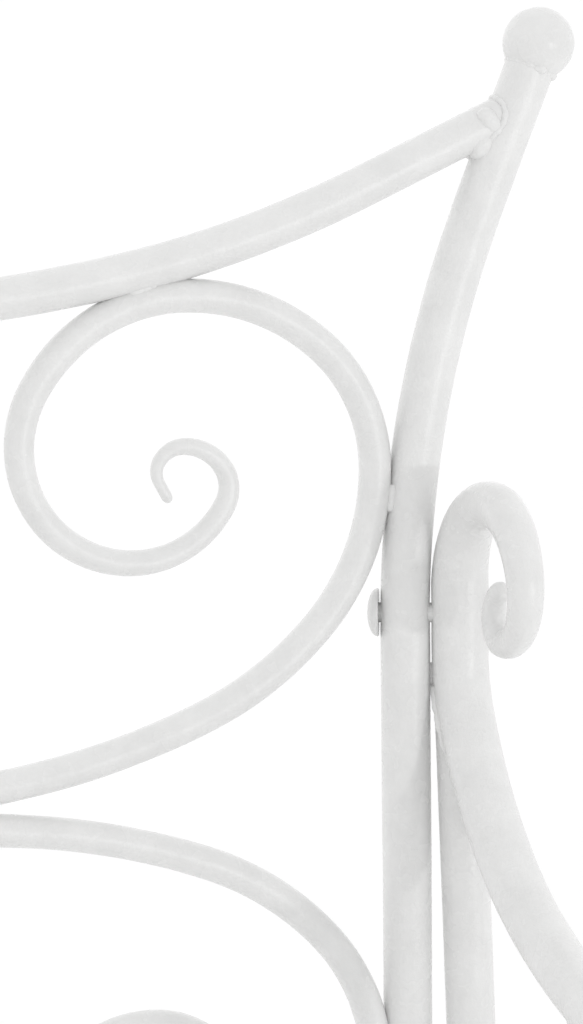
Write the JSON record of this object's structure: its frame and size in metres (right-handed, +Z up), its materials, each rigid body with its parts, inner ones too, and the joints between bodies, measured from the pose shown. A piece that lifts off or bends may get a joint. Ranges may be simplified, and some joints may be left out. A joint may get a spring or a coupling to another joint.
{
  "type": "daybed",
  "caption": "Painted wrought-iron daybed frame: scrolled back panel with flared posts and ball finials, dipping top rail, scroll-ended arms and a slatted deck.",
  "frame": {"origin": "middle of the footprint, on the floor", "axes": "+X to the sitter's left, along the daybed; -Y the open front; +Z up"},
  "size_m": [2.0946, 1.0347, 0.9548],
  "materials": {
    "iron_paint": "satin",
    "fastener_paint": "satin",
    "deck_paint": "satin",
    "glide": "matte"
  },
  "bodies": {
    "root": {"back_top_rail": "iron_paint", "back_bottom_rail": "iron_paint", "back_post_right": "iron_paint", "ball_finial_right": "iron_paint", "back_right_upper_scroll": "iron_paint", "back_right_lower_scroll": "iron_paint", "back_post_left": "iron_paint", "ball_finial_left": "iron_paint", "back_left_upper_scroll": "iron_paint", "back_left_lower_scroll": "iron_paint", "back_middle_upper_scroll": "iron_paint", "back_middle_lower_scroll": "iron_paint", "back_spindle_right_1": "iron_paint", "back_spindle_right_2": "iron_paint", "back_spindle_right_3": "iron_paint", "back_spindle_right_4": "iron_paint", "back_spindle_left_1": "iron_paint", "back_spindle_left_2": "iron_paint", "back_spindle_left_3": "iron_paint", "back_spindle_left_4": "iron_paint", "seat_deck": "deck_paint", "arm_bar_right": "iron_paint", "arm_rear_leg_right": "iron_paint", "arm_front_leg_right": "iron_paint", "arm_lower_rail_right": "iron_paint", "arm_scroll_right": "iron_paint", "arm_spindle_right_1": "iron_paint", "arm_spindle_right_2": "iron_paint", "arm_spindle_right_3": "iron_paint", "arm_spindle_right_4": "iron_paint", "upper_bolt_right": "fastener_paint", "upper_cap_nut_right": "fastener_paint", "lower_bolt_right": "fastener_paint", "lower_cap_nut_right": "fastener_paint", "spacer_sleeve_right": "iron_paint", "deck_rear_bolt_right": "fastener_paint", "deck_front_bolt_right": "fastener_paint", "back_post_foot_right": "glide", "rear_leg_foot_right": "glide", "front_leg_foot_right": "glide", "arm_bar_left": "iron_paint", "arm_rear_leg_left": "iron_paint", "arm_front_leg_left": "iron_paint", "arm_lower_rail_left": "iron_paint", "arm_scroll_left": "iron_paint", "arm_spindle_left_1": "iron_paint", "arm_spindle_left_2": "iron_paint", "arm_spindle_left_3": "iron_paint", "arm_spindle_left_4": "iron_paint", "upper_bolt_left": "fastener_paint", "upper_cap_nut_left": "fastener_paint", "lower_bolt_left": "fastener_paint", "lower_cap_nut_left": "fastener_paint", "spacer_sleeve_left": "iron_paint", "deck_rear_bolt_left": "fastener_paint", "deck_front_bolt_left": "fastener_paint", "back_post_foot_left": "glide", "rear_leg_foot_left": "glide", "front_leg_foot_left": "glide"}
  },
  "joints": []
}
